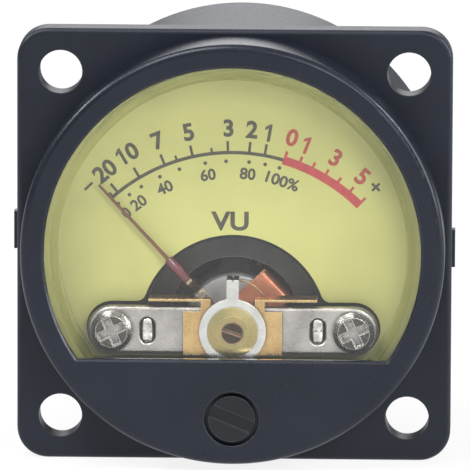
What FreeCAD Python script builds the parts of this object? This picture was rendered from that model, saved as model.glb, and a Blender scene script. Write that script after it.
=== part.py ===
import FreeCAD, Part

import math
import os
import re

import Sketcher

# A small analog level meter for a panel: a moving-coil movement in a round case with a square flange.
# It stands upright with its dial towards -Y. The origin is the centre of the flange's rear face.
# "Forward" is towards the dial (-Y): each level below is a distance forward of that rear face.

sizes = {
    # case and flange
    "flange_side": 45.0,
    "flange_thick": 3.5,
    "flange_corner": 3.2,
    "flange_edge": 0.5,
    "hole_inset": 4.5,
    "hole_radius": 2.25,
    "barrel_inset": 0.15,
    "barrel_depth": 25.0,
    "barrel_wall": 2.2,
    "barrel_edge": 0.8,
    "rear_wall": 1.6,
    "gate_length": 3.9,
    "gate_proud": 0.35,
    "gate_thick": 1.6,
    "gate_left_rise": 1.3,
    "gate_right_rise": -0.3,
    # front cover and clear window
    "drum_inset": 0.65,
    "drum_height": 6.9,
    "drum_wall": 0.95,
    "drum_edge": 0.7,
    "cover_thick": 1.2,
    "rim_width": 2.45,
    "mask_height": 6.1,
    "window_edge": 0.2,
    "snap_gap": 0.05,
    "collar_wall": 0.8,
    "collar_height": 1.5,
    "crystal_thick": 0.8,
    "crystal_lap": 1.55,
    "pane_height": 0.7,
    "skirt_wall": 0.8,
    "skirt_inset": 1.4,
    # dial, diffuser and frame plate
    "dial_stand": 1.2,
    "dial_thick": 0.3,
    "diffuser_thick": 0.4,
    "plate_thick": 1.2,
    "plate_gap": 0.15,
    "cutout_radius": 9.7,
    "cutout_round": 1.0,
    "bridge_margin": 0.15,
    # movement
    "tube_gap": 0.65,
    "rest_angle": 43.0,
    "core_radius": 5.1,
    "core_length": 8.0,
    "core_edge": 0.25,
    "core_sink": 3.3,
    "spacer_width": 3.0,
    "spacer_inset": 1.4,
    "glue_gap": 0.05,
    "coil_air": 0.35,
    "coil_end_air": 0.45,
    "coil_width": 4.2,
    "coil_round": 0.6,
    "former_wall": 0.15,
    "winding_thick": 0.65,
    "yoke_air": 0.65,
    "yoke_wall": 2.35,
    "well_wall": 1.2,
    "well_lip": 0.7,
    "lug_offset": 8.8,
    "lug_thick": 0.8,
    "lug_width": 2.3,
    "lug_recess": 0.25,
    "lug_slot_gap": 0.4,
    "light_inset": 2.1,
    "light_bottom": 2.6,
    # bridges and their screws
    "bridge_stand": 1.5,
    "bridge_thick": 0.8,
    "bridge_height": 5.1,
    "bridge_edge": 0.45,
    "slot_edge": 0.14,
    "bridge_screw_pitch": 25.0,
    "post_radius": 2.45,
    "screw_radius": 1.0,
    "screw_gap": 0.1,
    "screw_length": 4.2,
    "screw_head_radius": 2.15,
    "screw_head_height": 1.1,
    "screw_head_dome": 0.5,
    "cross_length": 2.9,
    "cross_width": 0.85,
    "cross_depth": 0.75,
    "cross_turn": 25.0,
    "rear_bridge_gap": 3.1,
    # jewel screws, bushes and jewels
    "jewel_screw_radius": 1.12,
    "jewel_screw_proud": 0.15,
    "jewel_slot_width": 0.3,
    "jewel_slot_depth": 0.35,
    "jewel_slot_turn": -18.0,
    "jewel_radius": 0.5,
    "jewel_depth": 0.5,
    "jewel_cup_radius": 0.4,
    "pivot_radius": 0.2,
    "pivot_play": 0.03,
    "thread_gap": 0.02,
    "bush_radius": 1.5,
    "shoulder_radius": 2.25,
    "bush_lip": 0.25,
    "rear_screw_length": 3.8,
    "lock_nut_across": 4.0,
    "lock_nut_thick": 1.0,
    # stop plate, regulator and its washer
    "stop_thick": 0.25,
    "stop_half_width": 5.1,
    "stop_top": 2.05,
    "stop_bottom": 2.5,
    "wing_inner": 2.3,
    "ear_width": 1.0,
    "wing_outer": 8.7,
    "wing_rise": 3.1,
    "wing_depth": 1.65,
    "tooth_inner": 4.0,
    "tooth_depth": 2.9,
    "slide_gap": 0.05,
    "regulator_thick": 0.35,
    "regulator_radius": 3.45,
    "regulator_arm_width": 1.25,
    "regulator_leg_rise": 5.2,
    "regulator_leg_thick": 0.25,
    "notch_width": 0.5,
    "notch_depth": 0.6,
    "tail_width": 1.6,
    "fork_top": 6.9,
    "fork_wall": 0.8,
    "fork_gap": 0.15,
    "washer_thick": 0.12,
    "washer_radius": 2.6,
    "washer_rise": 0.2,
    # zero screw
    "zero_boss_gap": 0.25,
    "zero_head_radius": 2.4,
    "zero_head_height": 1.0,
    "zero_sink": 0.1,
    "zero_recess_gap": 0.43,
    "zero_slot_width": 1.25,
    "zero_slot_depth": 0.5,
    "zero_slot_turn": -23.0,
    "zero_shank_radius": 1.5,
    "zero_boss_radius": 3.6,
    "zero_boss_height": 0.8,
    "zero_clip_radius": 2.2,
    "zero_clip_thick": 0.33,
    "pin_offset": 1.0,
    "pin_radius": 0.45,
    "pin_reach": 1.1,
    # pointer, arms and weights
    "hub_radius": 0.54,
    "hub_shoulder": 0.9,
    "base_radius": 1.5,
    "base_thick": 0.45,
    "arm_stand": 1.45,
    "arm_thick": 0.2,
    "arm_width": 0.67,
    "arm_hub_radius": 1.1,
    "arm_bend_start": 5.2,
    "arm_bend_run": 1.4,
    "arm_step": 1.3,
    "arm_end": 8.5,
    "pointer_length": 20.4,
    "pointer_base_width": 0.42,
    "pointer_tip_width": 0.26,
    "pointer_thick": 0.18,
    "sleeve_start": 6.85,
    "sleeve_end": 9.9,
    "sleeve_radius": 0.54,
    "sleeve_neck": 0.44,
    "sleeve_taper": 0.9,
    "sleeve_bore": 0.37,
    "cross_arm": 4.0,
    "cross_tail": 5.1,
    "cross_arm_width": 0.4,
    "weight_radius": 0.42,
    "weight_bore": 0.24,
    "side_weight_length": 0.8,
    "side_weight_place": 3.3,
    "tail_weight_radius": 0.54,
    "tail_weight_length": 1.9,
    "tail_weight_place": 3.9,
    # hairsprings
    "spring_wire": 0.2,
    "spring_pitch": 0.66,
    "spring_collet_gap": 0.05,
    "spring_collet_thick": 0.5,
    "spring_stand": 0.55,
    "tag_rise": 4.7,
    "tag_thick": 0.25,
    "tag_width": 1.25,
    # terminals and lamp
    "stud_spread": 12.5,
    "stud_drop": 0.5,
    "stud_radius": 1.25,
    "stud_tip_radius": 1.0,
    "stud_hold": 8.0,
    "stud_reach": 7.4,
    "stud_gap": 0.15,
    "pillar_radius": 2.4,
    "nut_across": 5.0,
    "nut_thick": 2.0,
    "flat_washer_radius": 2.8,
    "flat_washer_thick": 0.3,
    "tag_ring_radius": 2.4,
    "tag_length": 7.5,
    "tag_eye_radius": 0.6,
    "lamp_rise": 12.5,
    "lamp_spread": 4.5,
    "lamp_sink": 12.0,
    "lamp_radius": 1.6,
    "lamp_half_length": 3.25,
    "lamp_pin_radius": 0.5,
    "lamp_pin_reach": 5.0,
    "lamp_collar_radius": 1.1,
    "lamp_collar_thick": 0.6,
    "lead_radius": 0.2,
}

# Levels and radii that follow from the sizes
places = {
    "hole_pitch": "flange_side - 2 * hole_inset",
    "drum_radius": "flange_side / 2 - drum_inset",
    "barrel_radius": "drum_radius - barrel_inset",
    "window_radius": "drum_radius - rim_width",
    "skirt_radius": "window_radius - skirt_inset",
    "zero_drop": "drum_inside - zero_boss_radius - zero_boss_gap",
    "window_drop": "zero_drop - mask_height",
    "pivot_drop": "cavity_radius - tube_radius - tube_gap",
    "light_radius": "plate_radius - light_inset",
    "cover_front": "flange_thick + drum_height",
    "cover_inside": "cover_front - cover_thick",
    "crystal_back": "cover_inside - crystal_thick",
    "drum_inside": "drum_radius - drum_wall",
    "collar_radius": "drum_inside - snap_gap",
    "collar_bore": "collar_radius - collar_wall",
    "collar_front": "flange_thick + collar_height",
    "cavity_radius": "barrel_radius - barrel_wall",
    "cavity_back": "rear_wall - barrel_depth",
    "plate_radius": "collar_bore - plate_gap",
    "dial_front": "flange_thick + dial_stand",
    "dial_back": "dial_front - dial_thick",
    "plate_front": "dial_back - diffuser_thick",
    "plate_back": "plate_front - plate_thick",
    "bridge_back": "dial_front + bridge_stand",
    "bridge_front": "bridge_back + bridge_thick",
    "bridge_half_height": "bridge_height / 2",
    "bridge_half_length": "bridge_screw_pitch / 2 + bridge_half_height",
    "stop_front": "bridge_front + stop_thick",
    "regulator_back": "stop_front + slide_gap",
    "regulator_front": "regulator_back + regulator_thick",
    "washer_back": "regulator_front + slide_gap / 2",
    "lip_back": "washer_back + washer_rise + washer_thick",
    "lip_front": "lip_back + washer_thick",
    "jewel_screw_front": "lip_front + jewel_screw_proud",
    "core_front": "dial_front - core_sink",
    "core_back": "core_front - core_length",
    "former_half": "core_radius + coil_air",
    "winding_in_half": "former_half + former_wall",
    "coil_half": "winding_in_half + winding_thick",
    "former_front": "core_front + coil_end_air",
    "former_back": "core_back - coil_end_air",
    "coil_front": "former_front + former_wall + winding_thick",
    "coil_back": "former_back - former_wall - winding_thick",
    "yoke_bore": "coil_half + yoke_air",
    "yoke_radius": "yoke_bore + yoke_wall",
    "well_radius": "yoke_radius + glue_gap",
    "tube_radius": "well_radius + well_wall",
    "lug_front": "bridge_front - lug_recess",
    "rear_bridge_front": "coil_back - rear_bridge_gap",
    "rear_bridge_back": "rear_bridge_front - bridge_thick",
    "cross_back": "coil_front + base_thick + slide_gap * 2",
    "cross_front": "cross_back + arm_thick",
    "arm_back": "coil_front + arm_stand",
    "arm_front": "arm_back + arm_thick",
    "pointer_back": "arm_front + arm_step - arm_thick",
    "collet_back": "arm_front + arm_thick + spring_stand - spring_collet_thick / 2",
    "collet_front": "collet_back + spring_collet_thick",
    "spring_level": "(collet_back + collet_front) / 2",
    "jewel_back": "bridge_back - jewel_depth / 2",
    "cup_bottom": "jewel_back + jewel_cup_radius",
    "rear_collet_front": "coil_back - base_thick - hub_shoulder",
    "rear_collet_back": "rear_collet_front - spring_collet_thick",
    "rear_spring_level": "(rear_collet_front + rear_collet_back) / 2",
    "rear_jewel_front": "rear_bridge_front + bridge_thick",
    "rear_cup_bottom": "rear_jewel_front - jewel_cup_radius",
    "zero_head_front": "cover_front - zero_sink",
    "zero_head_back": "zero_head_front - zero_head_height",
    "boss_back": "cover_inside - zero_boss_height",
    "clip_front": "boss_back - slide_gap",
    "clip_back": "clip_front - zero_clip_thick",
    "shank_back": "clip_back - slide_gap",
    "pin_back": "shank_back - pin_reach",
    "pin_line": "zero_drop - pivot_drop - pin_offset",
    "fork_half": "pin_radius + fork_gap + fork_wall",
    "fork_end": "zero_drop - pivot_drop + pin_radius",
    "tag_front": "flat_washer_thick + nut_thick",
}


def spelled(text):
    """Write a size expression with the sheet's own references."""
    def one(match):
        name = match.group()
        if name in places:
            return "(" + spelled(places[name]) + ")"
        if name in sizes:
            return "Sizes." + name
        return name
    return re.sub(r"[a-z][a-z_]*", one, text)


def number(text):
    return float(sheet.evalExpression(spelled(text)))


def fill_sheet():
    for row, (name, size) in enumerate(sizes.items(), start=1):
        sheet.set(f"A{row}", name)
        sheet.set(f"B{row}", str(size))
        sheet.setAlias(f"B{row}", name)
    doc.recompute()


# Sketch helpers. A sketch that faces forward has X to the right and Z up.

def add_body(name):
    body = doc.addObject("PartDesign::Body", name)
    body.Label = name
    return body


def plane_of(body, role):
    return next(plane for plane in body.Origin.OriginFeatures if plane.Role == role)


def add_sketch(body, level, role="XZ_Plane"):
    sketch = body.newObject("Sketcher::SketchObject", body.Name + "_sketch")
    sketch.AttachmentSupport = [(plane_of(body, role), "")]
    sketch.MapMode = "FlatFace"
    sketch.setExpression("AttachmentOffset.Base.z", spelled(level))
    return sketch


def bind(sketch, kind, places_on, text):
    constraint = Sketcher.Constraint(kind, *places_on, number(text))
    index = sketch.addConstraint(constraint)
    sketch.setExpression(f"Constraints[{index}]", spelled(text))


def bind_point(sketch, shape, point, x, z):
    bind(sketch, "DistanceX", (-1, 1, shape, point), x)
    bind(sketch, "DistanceY", (-1, 1, shape, point), z)


def join(sketch, first, first_point, second, second_point):
    sketch.addConstraint(Sketcher.Constraint("Coincident", first, first_point, second, second_point))


def draw_circle(sketch, x, z, radius):
    centre = FreeCAD.Vector(number(x), number(z), 0)
    circle = Part.Circle(centre, FreeCAD.Vector(0, 0, 1), number(radius))
    shape = sketch.addGeometry(circle, False)
    bind(sketch, "Radius", (shape,), radius)
    bind_point(sketch, shape, 3, x, z)


def draw_outline(sketch, corners):
    """A closed outline of straight lines through the given corners."""
    points = [FreeCAD.Vector(number(x), number(z), 0) for x, z in corners]
    lines = []
    for start, end in zip(points, points[1:] + points[:1]):
        lines.append(sketch.addGeometry(Part.LineSegment(start, end), False))
    for line, following in zip(lines, lines[1:] + lines[:1]):
        join(sketch, line, 2, following, 1)
    for line, (x, z) in zip(lines, corners):
        bind_point(sketch, line, 1, x, z)


def draw_rectangle(sketch, left, bottom, right, top):
    draw_outline(sketch, [(left, bottom), (right, bottom), (right, top), (left, top)])


def draw_segment(sketch, radius, chord, rise="0"):
    """The part of a circle above a level chord, its centre on the Z axis at the given rise."""
    size = number(radius)
    centre = FreeCAD.Vector(0, number(rise), 0)
    start = math.asin((number(chord) - number(rise)) / size)
    circle = Part.Circle(centre, FreeCAD.Vector(0, 0, 1), size)
    arc = sketch.addGeometry(Part.ArcOfCircle(circle, start, math.pi - start), False)
    half = size * math.cos(start)
    left = FreeCAD.Vector(-half, number(chord), 0)
    right = FreeCAD.Vector(half, number(chord), 0)
    line = sketch.addGeometry(Part.LineSegment(left, right), False)
    join(sketch, arc, 2, line, 1)
    join(sketch, line, 2, arc, 1)
    sketch.addConstraint(Sketcher.Constraint("Horizontal", line))
    bind_point(sketch, arc, 3, "0", rise)
    bind(sketch, "Radius", (arc,), radius)
    bind(sketch, "DistanceY", (-1, 1, line, 1), chord)


def draw_stadium(sketch, x, z, half_length, half_height, upright=False):
    """Two half circles joined by straight sides, lying level or standing upright."""
    radius = number(half_height)
    reach = f"({half_length} - {half_height})"
    if upright:
        ends = [(x, f"{z} + {reach}", 0.0), (x, f"{z} - {reach}", math.pi)]
    else:
        ends = [(f"{x} + {reach}", z, -math.pi / 2), (f"{x} - {reach}", z, math.pi / 2)]
    arcs = []
    for end_x, end_z, turn in ends:
        centre = FreeCAD.Vector(number(end_x), number(end_z), 0)
        circle = Part.Circle(centre, FreeCAD.Vector(0, 0, 1), radius)
        arcs.append(sketch.addGeometry(Part.ArcOfCircle(circle, turn, turn + math.pi), False))
    for arc, following in zip(arcs, arcs[::-1]):
        start = sketch.getPoint(arc, 2)
        end = sketch.getPoint(following, 1)
        line = sketch.addGeometry(Part.LineSegment(start, end), False)
        sketch.addConstraint(Sketcher.Constraint("Tangent", arc, 2, line, 1))
        sketch.addConstraint(Sketcher.Constraint("Tangent", line, 2, following, 1))
    for arc, (end_x, end_z, turn) in zip(arcs, ends):
        bind_point(sketch, arc, 3, end_x, end_z)
        bind(sketch, "Radius", (arc,), half_height)


# Feature helpers. A pad grows forward from its sketch, and a pocket cuts backward from it.

def pad(body, sketch, length):
    feature = body.newObject("PartDesign::Pad", body.Name + "_pad")
    feature.Profile = sketch
    feature.setExpression("Length", spelled(length))
    doc.recompute()
    return feature


def pocket(body, sketch, depth):
    before = body.Shape.Volume
    feature = body.newObject("PartDesign::Pocket", body.Name + "_pocket")
    feature.Profile = sketch
    feature.setExpression("Length", spelled(depth))
    doc.recompute()
    if not body.Shape.Volume < before:
        raise RuntimeError(body.Label + ": a pocket cuts nothing")
    return feature


def disc(body, back, front, radius, x="0", z="0"):
    sketch = add_sketch(body, back)
    draw_circle(sketch, x, z, radius)
    pad(body, sketch, f"{front} - ({back})")


def bore(body, front, back, radius, spots=(("0", "0"),)):
    sketch = add_sketch(body, front)
    for x, z in spots:
        draw_circle(sketch, x, z, radius)
    pocket(body, sketch, f"{front} - ({back})")


def block(body, back, front, left, bottom, right, top):
    sketch = add_sketch(body, back)
    draw_rectangle(sketch, left, bottom, right, top)
    pad(body, sketch, f"{front} - ({back})")


def turned(name, profile):
    """A piece turned about the Y axis, from corners given as (level, radius)."""
    body = add_body(name)
    sketch = add_sketch(body, "0", "YZ_Plane")
    draw_outline(sketch, [(f"-({level})", radius) for level, radius in profile])
    feature = body.newObject("PartDesign::Revolution", name + "_turned")
    feature.Profile = sketch
    feature.ReferenceAxis = (sketch, ["H_Axis"])
    feature.Angle = 360
    doc.recompute()
    return body


def edge_names(body, wanted):
    edges = enumerate(body.Tip.Shape.Edges, start=1)
    return [f"Edge{index}" for index, edge in edges if wanted(edge)]


def round_edges(body, size, wanted, kind="Fillet"):
    names = edge_names(body, wanted)
    if not names:
        raise RuntimeError(body.Label + ": no edges to round")
    base = body.Tip
    feature = body.newObject("PartDesign::" + kind, body.Name + "_edges")
    feature.Base = (base, names)
    feature.setExpression("Radius" if kind == "Fillet" else "Size", spelled(size))
    doc.recompute()


def near(first, second):
    return abs(first - second) < 0.001


def lies_at(edge, level):
    """True for an edge that lies flat at one level."""
    box = edge.BoundBox
    return near(box.YMin, -number(level)) and near(box.YMax, -number(level))


def runs_back(edge):
    """True for a straight edge along Y."""
    box = edge.BoundBox
    return near(box.XLength, 0) and near(box.ZLength, 0)


def runs_up(edge):
    """True for a straight edge along Z."""
    box = edge.BoundBox
    return near(box.XLength, 0) and near(box.YLength, 0)


def on_pivot(body, turned_by=None):
    """Place a piece made about its own axis on the pivot line, leaning left by the rest angle if it swings."""
    if turned_by:
        lean = FreeCAD.Rotation(FreeCAD.Vector(0, -1, 0), number(turned_by))
        body.Placement = FreeCAD.Placement(FreeCAD.Vector(0, 0, 0), lean)
        body.setExpression("Placement.Rotation.Angle", spelled(turned_by))
    body.setExpression("Placement.Base.z", spelled("-pivot_drop"))
    return body


def grouped(name, pieces):
    """Separate like pieces that share one file."""
    group = doc.addObject("Part::Compound", name)
    group.Label = name
    group.Links = pieces
    doc.recompute()
    return group


# Case

def make_case_body():
    body = add_body("case_body")
    half = "flange_side / 2"
    block(body, "0", "flange_thick", f"-{half}", f"-{half}", half, half)
    round_edges(body, "flange_corner", runs_back)
    for side, rise in ((-1, "gate_left_rise"), (1, "gate_right_rise")):
        inner = f"{side} * ({half} - gate_proud)"
        outer = f"{side} * ({half} + gate_proud)"
        left, right = (outer, inner) if side < 0 else (inner, outer)
        low = f"{rise} - gate_length / 2"
        high = f"{rise} + gate_length / 2"
        middle = "(flange_thick - gate_thick) / 2"
        block(body, middle, f"{middle} + gate_thick", left, low, right, high)
    disc(body, "flange_thick", "collar_front", "collar_radius")

    def front_rim(edge):
        centre = edge.BoundBox.Center
        round_collar = near(centre.x, 0) and near(centre.z, 0)
        return lies_at(edge, "flange_thick") and not round_collar

    round_edges(body, "flange_edge", front_rim)
    disc(body, "-barrel_depth", "0", "barrel_radius")
    round_edges(body, "barrel_edge", lambda edge: lies_at(edge, "-barrel_depth"))
    bore(body, "collar_front", "plate_back", "collar_bore")
    bore(body, "plate_back", "cavity_back", "cavity_radius")
    pitch = "hole_pitch / 2"
    corners = [(f"{a} * {pitch}", f"{b} * {pitch}") for a in (-1, 1) for b in (-1, 1)]
    bore(body, "flange_thick", "0", "hole_radius", corners)
    studs = [(f"{side} * stud_spread", "-stud_drop") for side in (-1, 1)]
    bore(body, "cavity_back", "-barrel_depth", "stud_radius + stud_gap", studs)
    pins = [(f"{side} * lamp_spread", "lamp_rise") for side in (-1, 1)]
    bore(body, "cavity_back", "-barrel_depth", "lamp_pin_radius + thread_gap", pins)
    return body


def make_front_cover():
    body = add_body("front_cover")
    disc(body, "flange_thick", "cover_front", "drum_radius")
    bore(body, "cover_inside", "flange_thick", "drum_inside")
    disc(body, "boss_back", "cover_inside", "zero_boss_radius", z="-zero_drop")
    window = add_sketch(body, "cover_front")
    draw_segment(window, "window_radius", "-window_drop")
    pocket(body, window, "cover_thick")
    spot = (("0", "-zero_drop"),)
    bore(body, "cover_front", "zero_head_back - slide_gap", "zero_head_radius + zero_recess_gap", spot)
    bore(body, "zero_head_back - slide_gap", "boss_back", "zero_shank_radius + slide_gap", spot)
    drum = number("drum_radius")
    window_size = number("window_radius")

    def outer_rim(edge):
        return lies_at(edge, "cover_front") and near(edge.BoundBox.XMax, drum)

    def window_rim(edge):
        box = edge.BoundBox
        return lies_at(edge, "cover_front") and window_size * 0.7 < box.XMax < window_size + 0.01

    round_edges(body, "drum_edge", outer_rim)
    round_edges(body, "window_edge", window_rim, "Chamfer")
    return body


def make_crystal():
    body = add_body("crystal")
    chord = "-(window_drop + crystal_lap)"
    disc_sketch = add_sketch(body, "crystal_back")
    draw_segment(disc_sketch, "collar_radius - snap_gap", chord)
    pad(body, disc_sketch, "crystal_thick")
    pane = add_sketch(body, "cover_inside")
    draw_segment(pane, "window_radius - snap_gap", "-window_drop + snap_gap")
    pad(body, pane, "pane_height")
    skirt = add_sketch(body, "dial_front")
    draw_segment(skirt, "skirt_radius + skirt_wall", chord)
    pad(body, skirt, "crystal_back - dial_front")
    bore(body, "crystal_back", "dial_front", "skirt_radius")
    return body


# Dial

def make_dial_sheet(name, back, front, margin):
    """A round sheet with the opening that the movement shows through."""
    body = add_body(name)
    disc(body, back, front, "plate_radius")
    hood = add_sketch(body, front)
    draw_segment(hood, f"cutout_radius + {margin}", "-pivot_drop", rise="-pivot_drop")
    pocket(body, hood, f"{front} - ({back})")
    slot_half = f"(bridge_half_height + bridge_margin + {margin})"
    slot_length = f"(bridge_half_length + bridge_margin + {margin})"
    slot = add_sketch(body, front)
    draw_stadium(slot, "0", "-pivot_drop", slot_length, slot_half)
    pocket(body, slot, f"{front} - ({back})")
    corner_rise = number(f"{slot_half} - pivot_drop")

    def inner_corner(edge):
        centre = edge.BoundBox.Center
        inside = abs(centre.x) < number(f"cutout_radius + {margin}")
        return runs_back(edge) and inside and near(centre.z, corner_rise)

    round_edges(body, "cutout_round", inner_corner)
    return body


# Movement frame, magnet and ring

def make_movement_frame():
    body = add_body("movement_frame")
    disc(body, "plate_back", "plate_front", "plate_radius")
    light = add_sketch(body, "plate_front")
    draw_segment(light, "light_radius", "light_bottom")
    pocket(body, light, "plate_thick")
    disc(body, "rear_bridge_front", "plate_back", "tube_radius", z="-pivot_drop")
    posts = [(f"{side} * bridge_screw_pitch / 2", "-pivot_drop") for side in (-1, 1)]
    for x, z in posts:
        disc(body, "rear_bridge_front", "bridge_back", "post_radius", x, z)
    pillars = [(f"{side} * stud_spread", "-stud_drop") for side in (-1, 1)]
    for x, z in pillars:
        disc(body, "cavity_back", "plate_back", "pillar_radius", x, z)
    well = (("0", "-pivot_drop"),)
    bore(body, "plate_front", "core_back", "well_radius", well)
    bore(body, "core_back", "rear_bridge_front", "well_radius - well_lip", well)
    hole = "screw_radius + thread_gap"
    bore(body, "bridge_back", "bridge_back - screw_length - screw_gap", hole, posts)
    bore(body, "rear_bridge_front + screw_length + screw_gap", "rear_bridge_front", hole, posts)
    bore(body, "cavity_back + stud_hold", "cavity_back", "stud_radius + thread_gap", pillars)
    return body


def make_yoke_ring():
    body = add_body("yoke_ring")
    disc(body, "core_back", "core_front", "yoke_radius")
    bore(body, "core_front", "core_back", "yoke_bore")
    for side in (-1, 1):
        middle = f"{side} * lug_offset"
        left = f"{middle} - lug_thick / 2"
        right = f"{middle} + lug_thick / 2"
        block(body, "core_front", "lug_front", left, "-lug_width / 2", right, "lug_width / 2")
    return on_pivot(body)


def make_magnet_core():
    body = add_body("magnet_core")
    disc(body, "core_back", "core_front", "core_radius")
    round_edges(body, "core_edge", lambda edge: lies_at(edge, "core_front"), "Chamfer")
    return on_pivot(body)


def make_core_spacers():
    """Two blocks above and below the magnet that hold it in the middle of the ring."""
    block_shape = doc.addObject("Part::Box", "spacer_block")
    block_shape.setExpression("Length", spelled("spacer_width"))
    block_shape.setExpression("Width", spelled("core_length - 2 * spacer_inset"))
    block_shape.setExpression("Height", spelled("yoke_bore"))
    block_shape.setExpression("Placement.Base.x", spelled("-spacer_width / 2"))
    block_shape.setExpression("Placement.Base.y", spelled("spacer_inset - core_front"))
    rounds = []
    limits = (("spacer_outer", "yoke_bore - glue_gap"), ("spacer_inner", "core_radius + glue_gap"))
    for name, radius in limits:
        cylinder = doc.addObject("Part::Cylinder", name)
        turn = FreeCAD.Rotation(FreeCAD.Vector(1, 0, 0), -90)
        cylinder.Placement = FreeCAD.Placement(FreeCAD.Vector(0, 0, 0), turn)
        cylinder.setExpression("Radius", spelled(radius))
        cylinder.setExpression("Height", spelled("core_length"))
        cylinder.setExpression("Placement.Base.y", spelled("-core_front"))
        rounds.append(cylinder)
    trimmed = doc.addObject("Part::MultiCommon", "spacer_trimmed")
    trimmed.Shapes = [block_shape, rounds[0]]
    upper = doc.addObject("Part::Cut", "spacer_upper")
    upper.Base = trimmed
    upper.Tool = rounds[1]
    lower = doc.addObject("Part::Mirroring", "spacer_lower")
    lower.Source = upper
    lower.Normal = FreeCAD.Vector(0, 0, 1)
    return on_pivot(grouped("core_spacers", [upper, lower]))


# Bridges and screws

def make_front_bridge():
    body = add_body("front_bridge")
    sketch = add_sketch(body, "bridge_back")
    draw_stadium(sketch, "0", "0", "bridge_half_length", "bridge_half_height")
    pad(body, sketch, "bridge_thick")
    round_edges(body, "bridge_edge", lambda edge: lies_at(edge, "bridge_front"))
    bore(body, "bridge_front", "bridge_back", "bush_radius + thread_gap")
    posts = [(f"{side} * bridge_screw_pitch / 2", "0") for side in (-1, 1)]
    bore(body, "bridge_front", "bridge_back", "screw_radius + screw_gap", posts)
    slots = add_sketch(body, "bridge_front")
    long_half = "(lug_width / 2 + lug_slot_gap / 2)"
    short_half = "(lug_thick / 2 + lug_slot_gap)"
    for side in (-1, 1):
        draw_stadium(slots, f"{side} * lug_offset", "0", long_half, short_half, upright=True)
    pocket(body, slots, "bridge_thick")
    slot_place = number("lug_offset")

    def slot_rim(edge):
        centre = edge.BoundBox.Center
        return lies_at(edge, "bridge_front") and abs(abs(centre.x) - slot_place) < number("lug_thick")

    round_edges(body, "slot_edge", slot_rim, "Chamfer")
    return on_pivot(body)


def make_rear_bridge():
    body = add_body("rear_bridge")
    sketch = add_sketch(body, "rear_bridge_back")
    draw_stadium(sketch, "0", "0", "bridge_half_length", "bridge_half_height")
    pad(body, sketch, "bridge_thick")
    round_edges(body, "bridge_edge", lambda edge: lies_at(edge, "rear_bridge_back"))
    bore(body, "rear_bridge_front", "rear_bridge_back", "jewel_screw_radius + thread_gap")
    posts = [(f"{side} * bridge_screw_pitch / 2", "0") for side in (-1, 1)]
    bore(body, "rear_bridge_front", "rear_bridge_back", "screw_radius + screw_gap", posts)
    return on_pivot(body)


def make_pan_screw(name):
    """A cross-head pan screw, its head's underside at level 0 and its shank behind it."""
    shank = "-(bridge_thick + screw_length - screw_gap)"
    profile = [
        (shank, "0"),
        (shank, "screw_radius"),
        ("0", "screw_radius"),
        ("0", "screw_head_radius"),
        ("screw_head_height - screw_head_dome", "screw_head_radius"),
        ("screw_head_height", "screw_head_radius - screw_head_dome"),
        ("screw_head_height", "0"),
    ]
    body = turned(name, profile)
    for turn in (0.0, 90.0):
        cross = add_sketch(body, "screw_head_height")
        spin = FreeCAD.Rotation(FreeCAD.Vector(0, 0, 1), turn + number("cross_turn"))
        cross.AttachmentOffset = FreeCAD.Placement(FreeCAD.Vector(0, 0, number("screw_head_height")), spin)
        cross.setExpression("AttachmentOffset.Rotation.Angle", spelled(f"cross_turn + {turn}"))
        half_long = "cross_length / 2"
        half_wide = "cross_width / 2"
        draw_rectangle(cross, f"-{half_long}", f"-{half_wide}", half_long, half_wide)
        pocket(body, cross, "cross_depth")
    return body


def make_bridge_screws(name, level, facing_back):
    screws = []
    for side, word in ((-1, "left"), (1, "right")):
        screw = make_pan_screw(f"{name}_{word}")
        if facing_back:
            screw.Placement = FreeCAD.Placement(FreeCAD.Vector(0, 0, 0), FreeCAD.Rotation(FreeCAD.Vector(0, 0, 1), 180))
        screw.setExpression("Placement.Base.x", spelled(f"{side} * bridge_screw_pitch / 2"))
        screw.setExpression("Placement.Base.y", spelled(f"-({level})"))
        screw.setExpression("Placement.Base.z", spelled("-pivot_drop"))
        screws.append(screw)
    return grouped(name, screws)


# Stop plate, regulator and front bearing

def make_stop_plate():
    body = add_body("stop_plate")
    half = "stop_half_width"
    block(body, "bridge_front", "stop_front", f"-{half}", "-stop_bottom", half, "stop_top")
    for side in (-1, 1):
        near_x = f"{side} * wing_inner"
        far_x = f"{side} * (wing_inner + ear_width)"
        left, right = (far_x, near_x) if side < 0 else (near_x, far_x)
        block(body, "bridge_front", "stop_front", left, "stop_top", right, "wing_rise + stop_thick")
        wing = add_sketch(body, "wing_rise", "XY_Plane")
        corners = [
            ("wing_inner", "stop_front"),
            ("wing_outer", "stop_front"),
            ("wing_outer", "stop_front - tooth_depth"),
            ("tooth_inner", "stop_front - tooth_depth"),
            ("tooth_inner", "stop_front - wing_depth"),
            ("wing_inner", "stop_front - wing_depth"),
        ]
        draw_outline(wing, [(f"{side} * {x}", f"-({level})") for x, level in corners])
        pad(body, wing, "stop_thick")
    bore(body, "stop_front", "bridge_front", "bush_radius + thread_gap")
    return on_pivot(body)


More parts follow.
